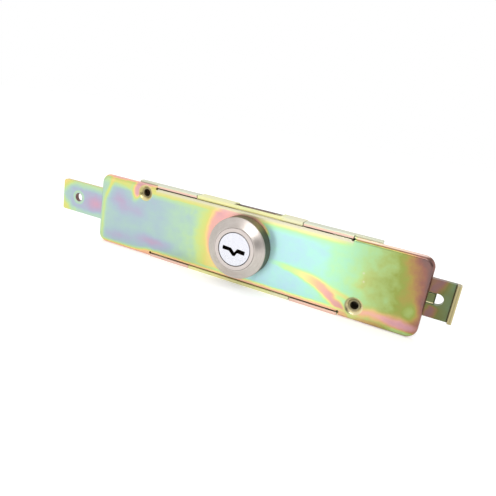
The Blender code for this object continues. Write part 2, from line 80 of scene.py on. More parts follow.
def turn(profile, x=0, z=0, steps=96, closed=True):
    bm = bmesh.new()
    verts = [bm.verts.new((x + r, y, z)) for r, y in profile]
    pairs = list(zip(verts, verts[1:])) + ([(verts[-1], verts[0])] if closed else [])
    edges = [bm.edges.new(pair) for pair in pairs]
    bmesh.ops.spin(bm, geom=verts + edges, cent=(x, 0, z), axis=(0, 1, 0), angle=2 * math.pi,
                   steps=steps, use_merge=True)
    bmesh.ops.remove_doubles(bm, verts=bm.verts, dist=hair)
    bmesh.ops.delete(bm, geom=[e for e in bm.edges if not e.link_faces], context="EDGES")
    bmesh.ops.recalc_face_normals(bm, faces=bm.faces)
    return bm


def roundEdges(bm, pick, amount, segments):
    bmesh.ops.bevel(bm, geom=[e for e in bm.edges if pick(*[v.co for v in e.verts])], offset=amount,
                    offset_type="OFFSET", affect="EDGES", segments=segments, profile=0.5,
                    material=-1, clamp_overlap=True)
    return bm


def alongDepth(a, b):
    return abs(a.x - b.x) < hair and abs(a.z - b.z) < hair


def alongLength(a, b):
    return abs(a.y - b.y) < hair and abs(a.z - b.z) < hair


def alongHeight(a, b):
    return abs(a.x - b.x) < hair and abs(a.y - b.y) < hair


def merged(*parts):
    whole = bmesh.new()
    for part in parts:
        mesh = bpy.data.meshes.new("part")
        part.to_mesh(mesh)
        part.free()
        whole.from_mesh(mesh)
        bpy.data.meshes.remove(mesh)
    return whole


def temporary(bm):
    mesh = bpy.data.meshes.new("temporary")
    bm.to_mesh(mesh)
    bm.free()
    made = bpy.data.objects.new("temporary", mesh)
    bpy.context.collection.objects.link(made)
    return made


def carve(bm, *cuts):
    work = temporary(bm)
    helpers = []
    for operation, tool in cuts:
        helper = temporary(tool)
        step = work.modifiers.new("cut", "BOOLEAN")
        step.operation, step.solver, step.object = operation, "EXACT", helper
        helpers.append(helper)
    result = bmesh.new()
    result.from_mesh(work.evaluated_get(bpy.context.evaluated_depsgraph_get()).to_mesh())
    for used in helpers + [work]:
        mesh = used.data
        bpy.data.objects.remove(used)
        bpy.data.meshes.remove(mesh)
    return result


def removing(*tools):
    return [("DIFFERENCE", tool) for tool in tools]


def finishPiece(name, bm, body, look, nodes=(), edge=0.0, sharp=32):
    bmesh.ops.remove_doubles(bm, verts=bm.verts, dist=hair)
    bmesh.ops.recalc_face_normals(bm, faces=bm.faces)
    bmesh.ops.scale(bm, vec=(mm, mm, mm), verts=bm.verts)
    bmesh.ops.translate(bm, vec=keyAxis, verts=bm.verts)
    mesh = bpy.data.meshes.new(name)
    bm.to_mesh(mesh)
    bm.free()
    mesh.materials.append(look)
    mesh.shade_smooth()
    mesh.set_sharp_from_angle(angle=math.radians(sharp))
    piece = bpy.data.objects.new(name, mesh)
    bpy.context.collection.objects.link(piece)
    if edge:
        soft = piece.modifiers.new("edges", "BEVEL")
        soft.width, soft.segments, soft.limit_method = edge * mm, 2, "ANGLE"
        soft.angle_limit = math.radians(sharp)
    flat = piece.modifiers.new("normals", "WEIGHTED_NORMAL")
    flat.keep_sharp = True
    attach(piece, body)
    if nodes:
        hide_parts(*nodes)
    return piece


# Shader maths on sockets
def tint(r, g, b):
    return tuple((c / 255 / 12.92 if c <= 10 else ((c / 255 + 0.055) / 1.055) ** 2.4)
                 for c in (r, g, b)) + (1.0,)


class Wire:
    def __init__(self, graph, socket):
        self.graph, self.socket = graph, socket

    def calc(self, operation, *others):
        return self.graph.add("ShaderNodeMath", {"operation": operation}, dict(enumerate((self,) + others)))

    def flipped(self, operation, other):
        return self.graph.add("ShaderNodeMath", {"operation": operation}, {0: other, 1: self})

    def __add__(self, other): return self.calc("ADD", other)
    def __radd__(self, other): return self.flipped("ADD", other)
    def __sub__(self, other): return self.calc("SUBTRACT", other)
    def __rsub__(self, other): return self.flipped("SUBTRACT", other)
    def __mul__(self, other): return self.calc("MULTIPLY", other)
    def __rmul__(self, other): return self.flipped("MULTIPLY", other)
    def __truediv__(self, other): return self.calc("DIVIDE", other)
    def __neg__(self): return self.calc("MULTIPLY", -1)
    def __abs__(self): return self.calc("ABSOLUTE")


class Graph:
    def __init__(self, tree):
        self.tree = tree

    def add(self, kind, settings, inputs, output=0):
        node = self.tree.nodes.new(kind)
        for key, value in settings.items():
            if key == "stops":
                ramp = node.color_ramp.elements
                while len(ramp) < len(value):
                    ramp.new(0.5)
                for stop, (at, color) in zip(ramp, value):
                    stop.position, stop.color = at, tint(*color)
            else:
                setattr(node, key, value)
        for key, value in inputs.items():
            if isinstance(value, Wire):
                self.tree.links.new(value.socket, node.inputs[key])
            else:
                node.inputs[key].default_value = value
        return Wire(self, node.outputs[output])

    def rise(self, value, low, high):
        return self.add("ShaderNodeMapRange", {"interpolation_type": "SMOOTHSTEP"},
                        {0: value, 1: low, 2: high, 3: 0, 4: 1})

    def bell(self, distance, width):
        return (-(distance / width).calc("POWER", 2)).calc("EXPONENT")

    def mix(self, factor, a, b):
        return self.add("ShaderNodeMix", {"data_type": "RGBA"}, {0: factor, 6: a, 7: b}, 2)

    def ramp(self, value, stops):
        return self.add("ShaderNodeValToRGB", {"stops": stops}, {0: value})

    def bump(self, height, strength, distance=0.05):
        return self.add("ShaderNodeBump", {},
                        {"Height": height, "Strength": strength, "Distance": distance * mm})


class Finish(Graph):
    def __init__(self, name):
        self.material = bpy.data.materials.new(name)
        self.material.use_nodes = True
        super().__init__(self.material.node_tree)
        self.shader = self.tree.nodes["Principled BSDF"]
        where = self.add("ShaderNodeTexCoord", {}, {}, "Object")
        moved = self.add("ShaderNodeVectorMath", {"operation": "SUBTRACT"}, {0: where, 1: keyAxis})
        self.place = self.add("ShaderNodeVectorMath", {"operation": "SCALE"}, {0: moved, "Scale": 1 / mm})
        self.x, self.y, self.z = (self.add("ShaderNodeSeparateXYZ", {}, {0: self.place}, n) for n in range(3))

    def noise(self, scale, detail=2, stretch=(1, 1, 1)):  # scale counts features per millimetre
        spot = self.add("ShaderNodeVectorMath", {"operation": "MULTIPLY"}, {0: self.place, 1: stretch})
        return self.add("ShaderNodeTexNoise", {}, {"Vector": spot, "Scale": scale, "Detail": detail})

    def distance(self, x, z):
        return ((self.x - x).calc("POWER", 2) + (self.z - z).calc("POWER", 2)).calc("SQRT")

    def finish(self, **sockets):
        for name, value in sockets.items():
            socket = self.shader.inputs[name.replace("_", " ")]
            if isinstance(value, Wire):
                self.tree.links.new(value.socket, socket)
            else:
                socket.default_value = value
        return self.material


def toward(base, goal, mask):
    return base + (goal - base) * mask


# Chromate plating: the film's thickness decides its colour
filmBands = [(0.00, (222, 184, 206)), (0.10, (200, 200, 226)), (0.18, (192, 218, 236)),
             (0.26, (183, 222, 230)), (0.34, (181, 233, 221)), (0.42, (184, 238, 194)),
             (0.50, (204, 242, 162)), (0.56, (230, 240, 156)), (0.62, (246, 234, 160)),
             (0.70, (250, 216, 154)), (0.76, (248, 196, 158)), (0.84, (240, 180, 176)),
             (0.92, (214, 158, 170)), (1.00, (180, 150, 158))]
# The film colours dimmed and a little greyer: a shaded copy, painted shade
shadedFilmBands = [(0.00, (206, 160, 180)), (0.10, (183, 168, 193)), (0.18, (174, 180, 199)),
             (0.26, (169, 191, 197)), (0.34, (172, 200, 190)), (0.42, (178, 210, 178)),
             (0.50, (191, 217, 154)), (0.56, (208, 217, 130)), (0.62, (220, 213, 124)),
             (0.70, (244, 208, 142)), (0.76, (246, 192, 150)), (0.84, (228, 172, 168)),
             (0.92, (200, 158, 174)), (1.00, (170, 156, 158))]
# Darker copies of the film colours: the film's deeper tones, and painted shade where the callers mix them in
deepBands = [(0.00, (120, 104, 118)), (0.26, (120, 140, 136)), (0.42, (150, 200, 166)),
             (0.50, (160, 196, 138)), (0.56, (160, 180, 108)), (0.62, (146, 158, 78)),
             (0.70, (168, 146, 80)), (0.76, (166, 126, 86)), (0.84, (148, 102, 90)),
             (0.92, (124, 97, 94)), (1.00, (104, 92, 80))]


def chromateFinish(g, film, shadeDimming=0.0, deep=0.0, pale=0.0, dark=0.0, metal=0.8):
    film = film + (g.noise(0.45, 3) - 0.5) * 0.04
    color = g.mix(shadeDimming, g.ramp(film, filmBands), g.ramp(film, shadedFilmBands))
    color = g.mix(deep, color, g.ramp(film, deepBands))
    # pale lifts toward cream, for sheared edges and painted highlights; dark lowers toward dark brown, for
    # painted shade and darker tones
    color = g.mix(pale, color, tint(224, 219, 202))
    color = g.mix(dark, color, tint(58, 46, 34))
    grain = g.noise(2.2, 2, (0.18, 1, 1.6))
    scuffs = g.rise(g.noise(0.8, 4, (0.3, 1, 1)), 0.55, 0.8)
    rough = 0.3 + (grain - 0.5) * 0.08 + scuffs * 0.08
    height = grain * 0.5 + g.noise(0.22, 1) * 2
    return g.finish(Base_Color=color, Metallic=metal, Roughness=rough, Normal=g.bump(height, 0.12))


def plateChromate():
    g = Finish("plate chromate")
    slow, fast = g.noise(0.05, 2) - 0.5, g.noise(0.17, 3) - 0.5
    x, z = g.x + slow * 7 + fast * 3, g.z + slow * 5 + fast * 3

    def spot(atX, atZ, wide, high):
        return (-((x - atX) / wide).calc("POWER", 2) - ((z - atZ) / high).calc("POWER", 2)).calc("EXPONENT")

    outer = g.rise(abs(g.x), recessHalf, recessHalf + 13)
    top, low = 18.6 + outer * 0.8 - g.z + fast * 1.2, g.z + 19.7 + outer * 1.9 + fast * 1.2
    # Left half: blue grey with pink and lavender patches, greener and then yellow towards the collar
    left = 0.29 + (g.noise(0.08, 3) - 0.5) * 0.24 + (g.noise(0.3, 2, (0.3, 1, 1)) - 0.5) * 0.08
    left = left - spot(-82, 5, 7, 6) * 0.17 - spot(-70, 3, 9, 4) * 0.10 - spot(-56, -12.5, 12, 2.8) * 0.19
    left = left - spot(-80, -15, 16, 3) * 0.10 - spot(-41, -14, 8, 3) * 0.14 + spot(-88, -2, 5, 7) * 0.06
    left = toward(left, 0.42 + fast * 0.25, g.rise(x, -54, -34))
    left = left - spot(-33, 7, 4, 4) * 0.10
    left = toward(left, 0.55, g.rise(x - abs(z - 1) * 0.12, -34, -26))
    left = toward(left, 0.64, g.rise(x - abs(z - 2) * 0.15, -27, -21))
    left = toward(left, 0.82, g.rise(g.distance(-1, 2) + fast * 3, 22.9, 19.0))
    left = toward(left, 0.88, g.bell(g.distance(-15.5, 15) + fast * 3, 4.2) * 0.8)
    left = toward(left, 0.48, g.rise(top, 7.0, 4.4) * g.rise(g.x, -18, -30) * 0.85)
    left = toward(left, 0.61, g.rise(top, 4.6, 3.0 - outer * 0.8) * g.rise(g.x, -12, -22))
    left = toward(left, 0.62 + outer * 0.16, g.rise(top, 1.2, 0.5))
    left = toward(left, 0.47, g.rise(low, 3.4, 1.8))
    left = toward(left, 0.64, g.rise(low, 2.0, 1.0))
    left = toward(left, 0.76, g.rise(low, 1.1, 0.3))
    line = g.x + 93.0 - g.rise(g.z, 1, 19) * 5.2 + fast * 1.5
    left = toward(left, 0.38 + g.rise(g.z, 13, 18) * 0.12, g.rise(line, 1.2, -0.8))
    left = toward(left, 0.61 + g.rise(g.z, 2, 14) * 0.13, g.bell(line, 1.5) * 0.62)
    left = toward(left, 0.57, g.bell(g.x + 76 + fast * 8, 5.5) * g.rise(g.z + fast * 4, 12.5, 16) * 0.9)
    halo = g.distance(-holeX - 0.5, holeZ + 0.5) + fast * 3
    upper = g.rise(g.z * 0.8 - g.x, 75.0, 80.0)
    left = toward(left, 0.87 - g.rise(halo, 5.4, 9.5) * 0.36, g.rise(halo, 11.0, 8.8) * upper)
    # Right half: clear aqua beside the collar, then green, olive, brown and mauve at the end
    right = 0.29 + fast * 0.14 - spot(45, 9, 4, 3) * 0.07
    right = right + g.rise(x, 30, 56) * 0.14 + g.rise(x, 56, 78) * 0.13
    right = right + spot(66, 0, 7, 6) * 0.07 + g.rise(x + z * 0.10, 76, 90) * 0.12
    right = right + g.rise(x + z * 0.25, 86, 98) * 0.24
    right = toward(right, 0.56, spot(90, -10, 3.5, 4.5) * 0.9)
    middle = -3.2 - (g.x - 12) * 0.10 - (g.x - 12).calc("POWER", 4) * 2.3e-6
    reach = g.rise(g.x, 10, 50)
    off = g.z - middle + fast * 1.6
    streak = off.calc("MAXIMUM", 0) / (1.2 + reach * 2.4) + off.calc("MINIMUM", 0) / (1.0 + reach * 2.0)
    streakMask = g.rise(g.bell(streak, 1.0), 0.0, 0.85) * g.rise(g.x, 12, 28) * g.rise(g.x, 66, 58)
    right = toward(right, 0.51 + g.rise(g.x, 27, 53) * 0.34, streakMask)
    branch = g.bell(g.z + 8.9 + (g.x - 50) * 0.24, 1.4) * g.rise(g.x, 46, 52) * g.rise(g.x, 64, 60)
    right = toward(right, 0.65, branch * 0.85)
    right = toward(right, 0.50, g.bell(g.x - 56.0, 2.4) * g.bell(g.z + 12.6, 1.4) * 0.9)
    foot = g.bell(z + 16.4, 2.6) * g.rise(g.x, 60, 68) * g.rise(g.x, 99, 92)
    right = toward(right, 0.80 + g.rise(g.x, 74, 84) * 0.11, foot)
    right = toward(right, 0.45, g.rise(top, 7.5, 4.0) * g.rise(g.x, 66, 50) * 0.8)
    right = toward(right, 0.60, g.rise(top, 4.6, 2.2) * g.rise(g.x, 60, 50))
    right = toward(right, 0.58, g.rise(low, 2.8, 1.6) * g.rise(g.x, 66, 56))
    right = toward(right, 0.78, g.rise(low, 1.6, 0.6) * g.rise(g.x, 66, 56))
    right = toward(right, 0.71 - g.rise(g.x, 76, 86) * 0.17, g.rise(g.z, -18.6, -20.0) * g.rise(g.x, 62, 70))
    # Beside the collar's upper right the film turns pink, and painted shade of the collar darkens it a little
    collarTintAndShade = g.rise(g.distance(0, 0), 18.2, 16.4) * g.rise(g.z + g.x * 0.4, 13, 18)
    right = toward(right, 0.84, collarTintAndShade)
    film = toward(left, right, g.rise(g.x, -6, 6))
    # Folded rim and sheared edges, pale and worn where the shear has rolled them; on the right rim a painted
    # highlight along the crest and painted shade in the fold
    ends = g.rise(abs(g.x), recessHalf, recessHalf + 2)
    rolled = 18.7 - g.rise(g.x, 0, 40) * 0.8
    rim = (g.rise(g.y, 0.25, 1.2) + g.rise(g.z - rolled, 0, 0.7) * 0.8).calc("MINIMUM", 1) * ends
    film = toward(film, 0.84, rim * 0.8)
    # Painted highlight: a pale line along the crest of the right rim
    crestHighlight = g.rise(g.z, 18.8, 19.3) * ends * g.rise(g.x, -20, 20)
    # Painted shade: the right rim's fold darkened to reddish brown over its highlight
    foldShade = g.rise(g.z, 17.6, 18.0) * g.rise(g.z, 19.0, 18.6) * ends * g.rise(g.x, 0, 62)
    beside = g.rise(abs(g.x), recessHalf + 0.6, recessHalf)
    sheared = g.rise(g.y, 0.10, 0.35) * beside
    lip = g.rise(g.z, 16.5, 17.3) * beside
    film = toward(film, 0.60, (lip + sheared).calc("MINIMUM", 1))
    # Dimples and threads of the fixing holes, with painted shade inside the bores
    leftHole, rightHole = g.distance(-holeX, holeZ), g.distance(holeX, -holeZ)
    cup = g.rise(leftHole.calc("MINIMUM", rightHole), 4.9, 4.3)
    film = toward(film, 0.66, cup)
    # A dark brown outline on the left of the right dimple, and the left dimple darker olive on its left side
    cupOutline = g.bell(rightHole - 4.3, 0.45) * g.rise(g.x - holeX, 1.5, -2.0)
    sideTone = cup * g.rise(abs(g.x) - holeX, 1.0, 3.5) * g.rise(g.x, 0, -1)
    # Painted shade inside the bores, dark brown
    bore = cup * g.rise(g.y, 0.9, 2.0)
    dots = g.bell(g.distance(65.4, 3.6), 0.5) + g.bell(g.distance(66.3, -0.6), 0.5)
    # Painted shade: left of the collar the plate takes the dimmed film colours
    shadeDimming = g.rise(g.x, -8, -22)
    # The right end runs into the darker bands: partly the film's deeper colours, partly painted darker
    # reflection
    deep = g.rise(x + z * 0.15, 42, 80) * (1 - foot * 0.85) + g.rise(g.x, 86, 96) * 0.3
    deep = (deep + cupOutline * 0.6 + sideTone * 0.6 + foldShade * 0.4) * (1 - crestHighlight * 0.8)
    pale = cup * 0.35 - sideTone * 0.2 + dots * 0.5 + sheared * 0.3 + lip * 0.45 + crestHighlight * 0.5
    pale = pale + g.rise(top, 3.8, 1.8) * beside * (0.24 + g.rise(g.x, 4, 14) * 0.06)
    # Two broad darker patches, low on the left and at the right end
    darkPatches = spot(-37, -17.5, 13, 3.5) * 0.13 + spot(88, 8, 9, 12) * 0.05
    dark = bore * 0.95 + collarTintAndShade * 0.10 + foldShade * 0.38 + cupOutline * 0.3 + darkPatches
    near = g.rise(g.distance(0, 0), 21, 17) * g.rise(g.x, 4, 12)
    return chromateFinish(g, film, shadeDimming, deep.calc("MINIMUM", 1), pale.calc("MINIMUM", 1),
                          dark.calc("MINIMUM", 1), metal=0.8 - near * 0.5)


def caseChromate():
    g = Finish("case chromate")
    wave = g.noise(0.06, 2) - 0.5
    front = g.rise(g.y, 0.9, 0.2) * g.rise(g.z, 20.3, 19.9)
    film = toward(0.46 + wave * 0.4, 0.82, front)
    film = toward(film, 0.45 + wave * 0.8, g.rise(g.y, 6.8, 7.7))
    pale = 0.74 - g.rise(g.y, 6.8, 7.7) * 0.62 - front * 0.38
    fromHoles = g.distance(-holeX, holeZ).calc("MINIMUM", g.distance(holeX, -holeZ))
    # Painted shade on the case's inner face seen through the fixing holes
    holeBackShade = g.rise(fromHoles, 5.5, 4.5) * g.rise(g.y, 6.7, 6.4)
    shade = g.rise(g.y, 0.6, 2.0) * g.rise(g.y, 7.6, 6.8) * 0.14
    return chromateFinish(g, film, 0.5, 0.0, pale, toward(shade, 0.97, holeBackShade))


def saddleChromate():
    g = Finish("saddle chromate")
    wave = g.noise(0.07, 2) - 0.5
    film = toward(0.59 + wave * 0.12, 0.44 + wave * 0.8, g.rise(g.y, 8.6, 10.0))
    pale = g.rise(g.y, 9.6, 8.0) * (0.30 + g.rise(g.x, 18, 22) * 0.35)
    # Painted shade in the notch: its shaded inner face painted reddish brown, darker towards the left
    notch = g.rise(g.y, 1.6, 2.4) * g.rise(abs(g.x - 4.5), 13.7, 13.4)
    notch = notch * g.rise(g.z, 19.9, 19.6) * g.rise(g.z, 12, 14)
    film = toward(film, 0.86, notch)
    # Painted shade: an olive line along the front's top and bottom edges, beside the gaps
    upperGapShade = g.rise(g.z, 19.5, 19.0) * g.rise(g.z, 10, 12)
    lowerGapShade = g.rise(g.z, -20.7, -20.3) * g.rise(g.z, -12, -14)
    gapShade = (upperGapShade + lowerGapShade) * g.rise(g.y, 0.6, 0.3)
    film = toward(film, 0.64, gapShade)
    # Towards the notch's right end the painted shade gives way to a paler tone
    sideTone = notch * g.rise(g.x, 11.5, 14)
    film = toward(film, 0.64, sideTone)
    deep = notch * 0.95 - sideTone * 0.6 + gapShade * 0.55
    shade = g.rise(g.y, 2, 7) * 0.07 + notch * g.rise(g.x, -2, -8) * 0.5 + gapShade * 0.10
    return chromateFinish(g, film, 0.2, deep, pale - gapShade * 0.3 + sideTone * 0.4, shade)


def leftBoltChromate():
    g = Finish("left bolt chromate")
    wave, fine = g.noise(0.09, 2) - 0.5, g.noise(0.25, 2) - 0.5
    x, z = g.x + wave * 8 + fine * 3, g.z + wave * 4 + fine * 2
    hole = g.distance(tongueHole, 0)
    film = 0.30 + fine * 0.2 - g.rise(x, -126, -118) * 0.10
    film = toward(film, 0.02, g.bell(x + 101.5, 8) * g.bell(z + 1, 4.6))
    film = toward(film, 0.40, g.rise(abs(z + 0.5), 5.2, 8.2) * 0.9)
    film = toward(film, 0.52, g.rise(z, 7.0, 9.4) * 0.7)
    film = toward(film, 0.60 + g.rise(z, 0, 8) * 0.06, g.rise(abs(z) * 0.9 - x, 124, 133))
    film = toward(film, 0.50, g.bell(hole - 3.6, 0.8) * 0.8)
    side = g.rise(g.y, 2.95, 3.2)
    # Painted shade inside the round hole
    bore = g.rise(hole, 2.75, 2.5)
    film = toward(toward(film, 0.70, side * 0.7), 0.90, bore)
    return chromateFinish(g, film, 1.0, side * 0.35 + bore * 0.5, 0.0, bore * 0.5)


def rightBoltChromate():
    g = Finish("right bolt chromate")
    wave = g.noise(0.12, 2) - 0.5
    x, z = g.x + wave * 8, g.z + wave * 6
    film = 0.52 + wave * 0.25
    mauve = g.bell(x - 99.0, 3.2) * g.rise(abs(z), 2.6, 4.8)
    film = toward(film, 0.91, mauve * 0.95)
    lip = g.rise(g.x, 106.9, 107.3)
    film = toward(film, 0.67, lip)
    # Painted shade: two dark lines in the creases of the lip
    creaseShade = g.bell(g.x - 107.1, 0.4) + g.bell(g.x - 108.2, 0.45) * 0.9
    dark = 0.72 - mauve * 0.18 - lip * 0.58 + creaseShade * 0.40
    return chromateFinish(g, film, 0.0, 1.0 - mauve * 0.3 - lip * 0.35, lip * 0.22, dark.calc("MAXIMUM", 0))


def guideChromate():
    g = Finish("guide chromate")
    film = 0.52 + (g.noise(0.12, 2) - 0.5) * 0.3
    # Painted highlight: a pale gold line along the guide's lower front edge
    edge = g.rise(g.z, -1.7, -2.1) * g.rise(g.y, 3.2, 2.8)
    return chromateFinish(g, toward(film, 0.64, edge), 0.0, 0.9 - edge * 0.6, edge * 0.4, 0.76 - edge * 0.7)


def satinNickel():
    g = Finish("satin nickel")
    angle, radius = g.x.calc("ARCTAN2", g.z), g.distance(0, 0)
    lines = g.add("ShaderNodeCombineXYZ", {}, {0: angle * 1.2, 1: g.y * 14, 2: radius * 14})
    brushed = g.add("ShaderNodeTexNoise", {}, {"Vector": lines, "Scale": 1.0, "Detail": 3, "Roughness": 0.6})
    cloud = g.noise(0.2, 2) - 0.5
    color = g.mix(g.rise(brushed + cloud * 0.3, 0.3, 0.75), tint(184, 175, 168), tint(212, 204, 198))
    # Painted shade and painted reflection: the collar's side wall dark olive
    side = g.rise(g.y, -7.3, -6.9) * g.rise(radius, 16.1, 16.3)
    color = g.mix(side * 0.9, color, tint(96, 88, 66))
    return g.finish(Base_Color=color, Metallic=1.0, Roughness=0.31 + brushed * 0.12 + side * 0.1,
                    Normal=g.bump(brushed, 0.10, 0.03))


def housingNickel():
    g = Finish("housing nickel")
    angle, radius = g.x.calc("ARCTAN2", g.z), g.distance(0, 0)
    lines = g.add("ShaderNodeCombineXYZ", {}, {0: angle * 1.5, 1: g.y * 10, 2: radius * 10})
    brushed = g.add("ShaderNodeTexNoise", {}, {"Vector": lines, "Scale": 1.0, "Detail": 2})
    color = g.mix(brushed, tint(188, 176, 172), tint(222, 214, 208))
    return g.finish(Base_Color=color, Metallic=1.0, Roughness=0.30 + brushed * 0.1,
                    Normal=g.bump(brushed, 0.08, 0.03))


def plugPolish():
    g = Finish("plug polish")
    grain = g.noise(3.0, 3)
    color = g.mix(g.noise(0.5, 2), tint(217, 218, 226), tint(231, 231, 238))
    # Painted shade: the plug's inside behind the face, keyway and slot walls, dark brown
    core = g.rise(g.y, -10.05, -9.7) * g.rise(g.distance(0, 0), 8.72, 8.6)
    color = g.mix(core, color, tint(62, 46, 34))
    return g.finish(Base_Color=color, Metallic=0.85, Roughness=0.22 + grain * 0.12,
                    Normal=g.bump(grain, 0.05, 0.02))


def plainSteel():
    g = Finish("plain steel")
    grain = g.noise(1.6, 3)
    blotch = g.noise(0.3, 2)
    color = g.mix(grain * 0.5 + blotch * 0.5, tint(168, 166, 160), tint(214, 212, 204))
    return g.finish(Base_Color=color, Metallic=1.0, Roughness=0.28 + grain * 0.16, Normal=g.bump(grain, 0.1))


def springSteel():
    g = Finish("spring steel")
    grain = g.noise(2.4, 3, (1, 1, 0.3))
    color = g.mix(grain, tint(120, 118, 118), tint(176, 174, 172))
    return g.finish(Base_Color=color, Metallic=1.0, Roughness=0.24 + grain * 0.14, Normal=g.bump(grain, 0.08))


def waferBrass():
    g = Finish("wafer brass")
    grain = g.noise(2.0, 3, (0.3, 1, 1))
    color = g.mix(grain, tint(150, 116, 62), tint(206, 172, 104))
    return g.finish(Base_Color=color, Metallic=1.0, Roughness=0.26 + grain * 0.16, Normal=g.bump(grain, 0.1))


plateLook, caseLook, saddleLook = plateChromate(), caseChromate(), saddleChromate()
leftLook, rightLook, guideLook = leftBoltChromate(), rightBoltChromate(), guideChromate()
nickelLook, housingLook, plugLook = satinNickel(), housingNickel(), plugPolish()
steelLook, springLook, brassLook = plainSteel(), springSteel(), waferBrass()
print("materials made")

# Front plate, a drawn sheet with end pans
plate = {"half": 96, "top": 19.6, "bottom": -22, "corner": 5.5, "sheet": 1.5, "rimDepth": 2.3, "bend": 2.2,
         "recessHalf": recessHalf, "recessTop": 18.4, "recessBottom": -19.8, "relief": 0.8,
         "axisHole": 9.2, "screwHole": 1.5, "screwAt": 12.9}
fixing = {"x": holeX, "z": holeZ, "bore": 2.1, "tube": 3.5, "end": 5.0, "pitch": 0.8, "depth": 0.28}


def pan(inset, front, back):
    x, low, high = plate["half"] - inset, plate["bottom"] + inset, plate["top"] - inset
    bm = blank([(-x, low), (x, low), (x, high), (-x, high)], front, back)
    roundEdges(bm, alongDepth, plate["corner"] - inset, 12)
    return roundEdges(bm, lambda a, b: abs(a.y - front) < hair and abs(b.y - front) < hair,
                      plate["bend"] - inset, 8)


def recessCut(half, edge, away, lip=0.5):
    steps = [math.pi / 2 * n / 5 for n in range(6)]
    arc = [(lip - lip * math.cos(t), edge - away * lip * (1 - math.sin(t))) for t in steps]
    points = [(-1, edge - away * lip)] + arc + [(6, edge), (6, away * 30), (-1, away * 30)]
    bm = bmesh.new()
    face = bm.faces.new([bm.verts.new((-half, y, z)) for y, z in points])
    pull(bm, [face], (2 * half, 0, 0))
    bmesh.ops.recalc_face_normals(bm, faces=bm.faces)
    return bm


def plateEdgeCuts():
    h, top, low, r = plate["recessHalf"], plate["recessTop"], plate["recessBottom"], plate["relief"]
    return [recessCut(h, top, 1), recessCut(h, low, -1),
            pin(-h, top, r, -1, 6, 24), pin(-h, low, r, -1, 6, 24), pin(h, low, r, -1, 6, 24),
            blank([(h - 1.3, top), (h - 0.2, top - 0.9), (h + 1.3, top + 0.6), (h, top + 0.9)], -1, 6)]


def fixingCutter(side):
    x, z, bore = side * fixing["x"], -side * fixing["z"], fixing["bore"]
    profile = [(0, -1), (5.4, -1), (5.1, -0.05), (4.7, 0.05), (4.2, 0.22), (3.7, 0.6), (3.3, 1.05),
               (2.9, 1.5)]
    y = 1.7
    while y < fixing["end"] + 0.6:
        profile += [(bore, y), (bore + fixing["depth"], y + fixing["pitch"] / 2)]
        y += fixing["pitch"]
    return turn(profile + [(0, profile[-1][1])], x, z, 48)


hollow = pan(plate["sheet"], plate["sheet"], plate["rimDepth"] + 3)
middleRoom = block((-recessHalf, plate["sheet"], -30), (recessHalf, 6, 30))
tubes = [pin(s * fixing["x"], -s * fixing["z"], fixing["tube"], 0.9, fixing["end"]) for s in (-1, 1)]
screwHoles = [pin(s * plate["screwAt"], 0, plate["screwHole"], -1, 3) for s in (-1, 1)]
sheet = carve(pan(0, 0, plate["rimDepth"]), *removing(hollow, middleRoom))
sheet = carve(sheet, *removing(*plateEdgeCuts()))
sheet = carve(sheet, *[("UNION", tube) for tube in tubes])
sheet = carve(sheet, *removing(fixingCutter(-1), fixingCutter(1), *screwHoles,
                               pin(0, 0, plate["axisHole"], -1, 3, 96)))
finishPiece("plateSheet", sheet, "frame", plateLook, ["front_plate"], edge=0.14)
print("front plate made")

# Back case and centre saddle, bent channels
case = {"half": 70.5, "top": 20.6, "bottom": -22, "sheet": 1.6, "depth": 7.9, "bend": 2.2,
        "wallHalf": 56.7, "setBack": 2.7, "roomHalf": 31.0, "roomTop": 16.8, "roomLow": -18.2,
        "lugFront": 1.85, "lugUpper": (46, 55, 14, 19.8), "lugLower": (-55, -46, -21.2, -15.4),
        "rivetX": 24, "rivetZ": 10, "rivetHole": 1.9, "guideHole": 1.8, "tailHole": 8.2,
        "guideRivets": (-64.5, 62.5, 68)}
saddle = {"half": 30.6, "front": 8.2, "depth": 10.1, "sheet": 1.9, "bend": 2.2,
          "notch": (-9, 18), "notchFront": 1.2, "notchFloor": 19.4}


def channel(half, top, bottom, depth, sheet, bend):
    bm = block((-half, 0, bottom), (half, depth, top))
    roundEdges(bm, lambda a, b: alongLength(a, b) and a.y > depth / 2, bend, 10)
    inner = block((-half - 1, -1, bottom + sheet), (half + 1, depth - sheet, top - sheet))
    roundEdges(inner, lambda a, b: alongLength(a, b) and a.y > 0, bend - sheet, 8)
    return carve(bm, ("DIFFERENCE", inner))


def rivetHoles(front, back):
    return removing(*[pin(sx * case["rivetX"], sz * case["rivetZ"], case["rivetHole"], front, back)
                      for sx in (-1, 1) for sz in (-1, 1)])


def lug(place):
    left, right, low, high = place
    return block((left, case["lugFront"], low), (right, case["lugFront"] + case["sheet"], high))


shell = channel(case["half"], case["top"], case["bottom"], case["depth"], case["sheet"], case["bend"])
room, wall, setBack = case["roomHalf"], case["wallHalf"], case["setBack"]
shell = carve(shell, *removing(block((-room, -1, case["roomTop"]), (room, 12, 30)),
                               block((-room, -1, -30), (room, 12, case["roomLow"])),
                               block((wall, -1, -30), (90, setBack, 30)),
                               block((-90, -1, -30), (-wall, setBack, 30))),
              ("UNION", lug(case["lugUpper"])), ("UNION", lug(case["lugLower"])))
guideHoles = [pin(x, 0, case["guideHole"], 4, 9) for x in case["guideRivets"]]
shell = carve(shell, *removing(pin(0, 0, case["tailHole"], 4, 9, 96)), *rivetHoles(4, 9),
              *removing(*guideHoles))
finishPiece("caseChannel", shell, "frame", caseLook, ["back_case"], edge=0.16)

